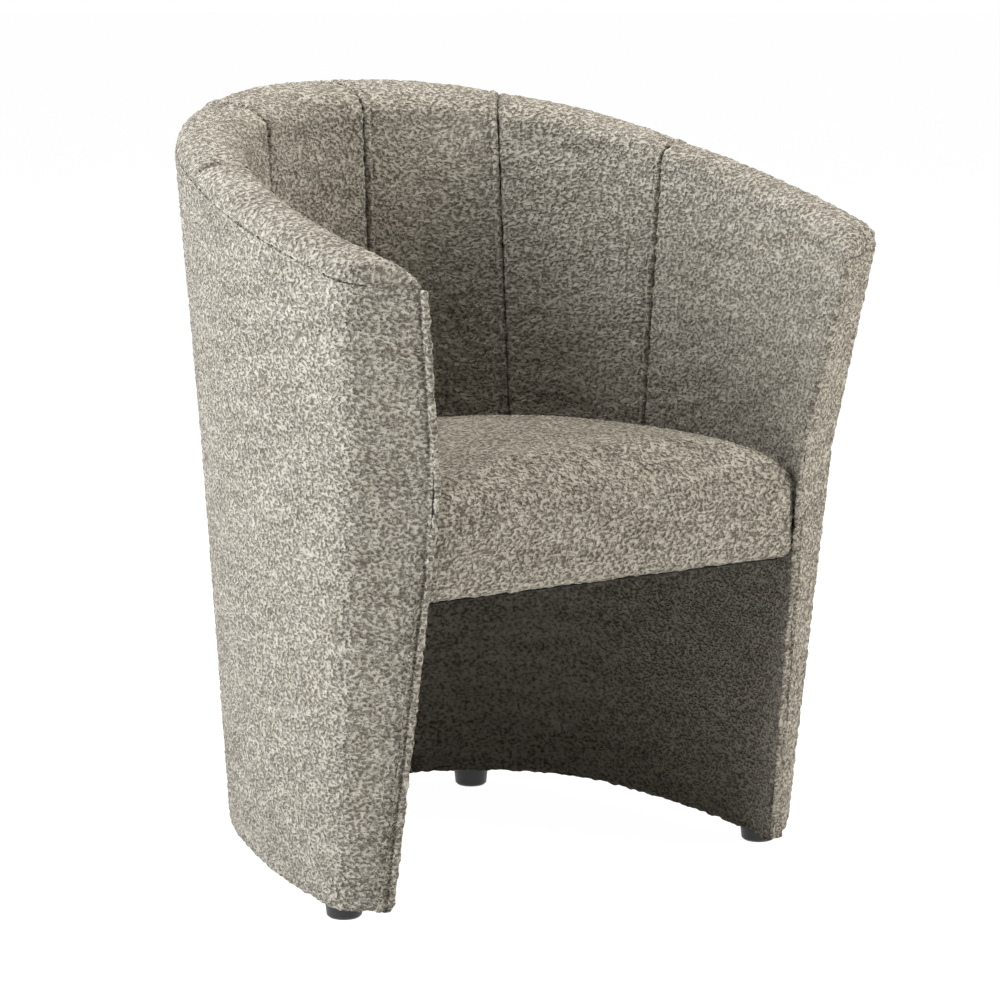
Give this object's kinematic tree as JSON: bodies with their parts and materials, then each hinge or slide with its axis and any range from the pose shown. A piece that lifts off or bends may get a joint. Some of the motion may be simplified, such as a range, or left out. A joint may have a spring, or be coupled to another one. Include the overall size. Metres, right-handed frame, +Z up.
{
  "type": "club chair",
  "caption": "Fixed tub-shaped club chair: flared upholstered horseshoe shell with rounded sloping rim, panelled inside, crowned fixed seat, open front below, small round feet.",
  "frame": {"origin": "middle of the bottom of the box, on the floor between the feet", "axes": "+Z up, -Y towards the open front, +X to the viewer's right when looking at the front"},
  "size_m": [0.6395, 0.6007, 0.7706],
  "materials": {
    "upholstery_fabric": "woven chenille, matte",
    "foot_plastic": "moulded black",
    "steel": "zinc plated",
    "wood": "sawn, unfinished",
    "board": "pressed board",
    "foam": "open cell foam",
    "wadding": "fibre wadding",
    "dust_cloth": "black non-woven cloth"
  },
  "bodies": {
    "root": {"base_dust_cover": "dust_cloth", "base_ring": "wood", "foot_back_left": "foot_plastic", "foot_back_right": "foot_plastic", "foot_front_left": "foot_plastic", "foot_front_right": "foot_plastic", "foot_screws": "steel", "frame_screws": "steel", "inner_board": "board", "inner_foam": "foam", "inner_panel_1": "upholstery_fabric", "inner_panel_2": "upholstery_fabric", "inner_panel_3": "upholstery_fabric", "inner_panel_4": "upholstery_fabric", "inner_panel_5": "upholstery_fabric", "inner_panel_6": "upholstery_fabric", "lower_board": "board", "lower_lining": "upholstery_fabric", "lower_post_1": "wood", "lower_post_2": "wood", "lower_post_3": "wood", "lower_post_4": "wood", "lower_post_5": "wood", "lower_post_6": "wood", "lower_wadding": "wadding", "mid_ring": "wood", "outer_board": "board", "outer_cover": "upholstery_fabric", "outer_wadding": "wadding", "rim_foam": "foam", "seat_board": "wood", "seat_corner_blocks": "wood", "seat_cover": "upholstery_fabric", "seat_dust_cover": "dust_cloth", "seat_foam": "foam", "seat_rail_back": "wood", "seat_rail_front": "wood", "seat_rail_left": "wood", "seat_rail_right": "wood", "seat_screws": "steel", "seat_springs": "steel", "seat_washers": "steel", "spring_clips": "steel", "spring_felt": "wadding", "top_rail": "wood", "upper_post_1": "wood", "upper_post_2": "wood", "upper_post_3": "wood", "upper_post_4": "wood", "upper_post_5": "wood", "upper_post_6": "wood"}
  },
  "joints": []
}
